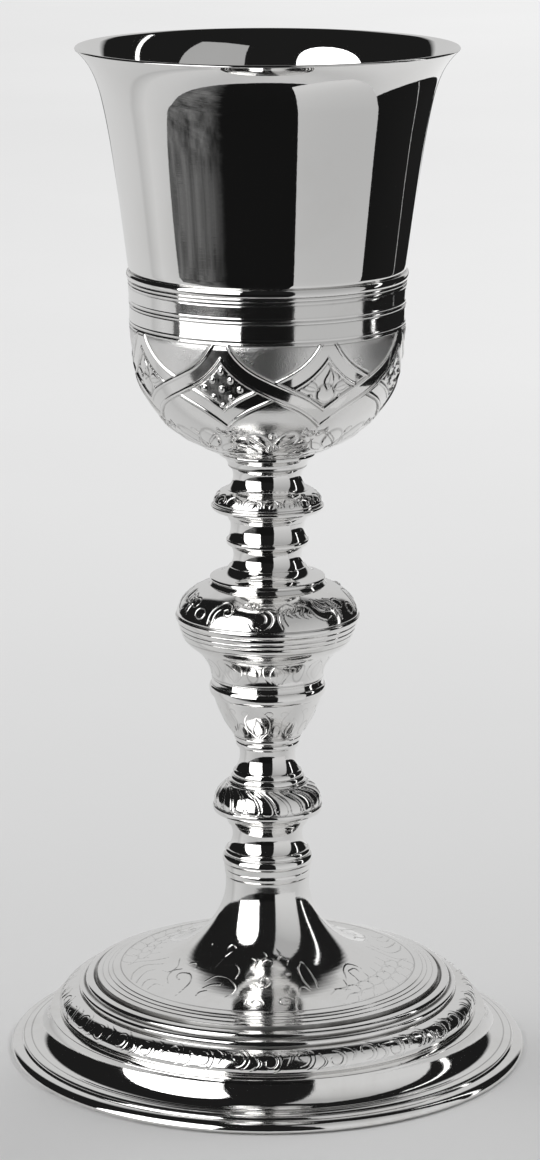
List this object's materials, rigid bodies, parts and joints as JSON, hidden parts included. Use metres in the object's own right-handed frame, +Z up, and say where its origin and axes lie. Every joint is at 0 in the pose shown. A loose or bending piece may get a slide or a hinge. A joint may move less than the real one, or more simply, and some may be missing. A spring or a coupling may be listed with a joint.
{
  "type": "chalice",
  "caption": "Silver altar chalice with a flared cup in an engraved calyx, a turned baluster stem with a broad knop, and a stepped round foot.",
  "frame": {"origin": "centre of the circle the foot rests on, in the plane of the table", "axes": "+Z up along the axis of the stem, +X along the wing nut's wings"},
  "size_m": [0.129, 0.129, 0.25],
  "materials": {
    "polished_silver": "silver, burnished to a mirror, with fine wiping scratches",
    "engraved_silver": "silver, polished and engraved, with matted grounds and a little tarnish in the cuts",
    "unpolished_silver": "silver as filed, dull and lightly tarnished",
    "rod_iron": "drawn iron, dull grey-brown"
  },
  "bodies": {
    "chalice": {"foot_edge_wire": "polished_silver", "foot_cove": "polished_silver", "foot_band": "engraved_silver", "foot_step": "polished_silver", "foot_trumpet": "engraved_silver", "stem_ring": "polished_silver", "lower_spool": "polished_silver", "lower_knop": "engraved_silver", "neck_spool": "polished_silver", "vase_collar": "polished_silver", "vase": "engraved_silver", "knop_ring": "polished_silver", "knop_lower": "engraved_silver", "knop_band": "polished_silver", "knop_upper": "engraved_silver", "knop_cap": "polished_silver", "middle_spool": "polished_silver", "engraved_ring": "engraved_silver", "upper_spool": "polished_silver", "upper_collar": "polished_silver", "calyx": "engraved_silver", "calyx_rim_wire": "polished_silver", "cup": "polished_silver", "cup_boss": "unpolished_silver", "tie_rod": "rod_iron", "throat_disc": "unpolished_silver"},
    "washer": {"rod_washer": "unpolished_silver"},
    "nut": {"rod_nut": "unpolished_silver"}
  },
  "joints": [
    {"name": "nut_travel", "type": "slide", "parent": "chalice", "child": "washer", "axis": [0, 0, -1], "range_m": [0, 0.0083]},
    {"name": "nut_spin", "type": "hinge", "parent": "washer", "child": "nut", "pos_m": [0, 0, 0.0295], "axis": [0, 0, -1], "range_deg": [0, 2970]}
  ],
  "couplings": [
    {"joint": "nut_travel", "follows": "nut_spin", "m_per_rad": 0.00015915}
  ]
}
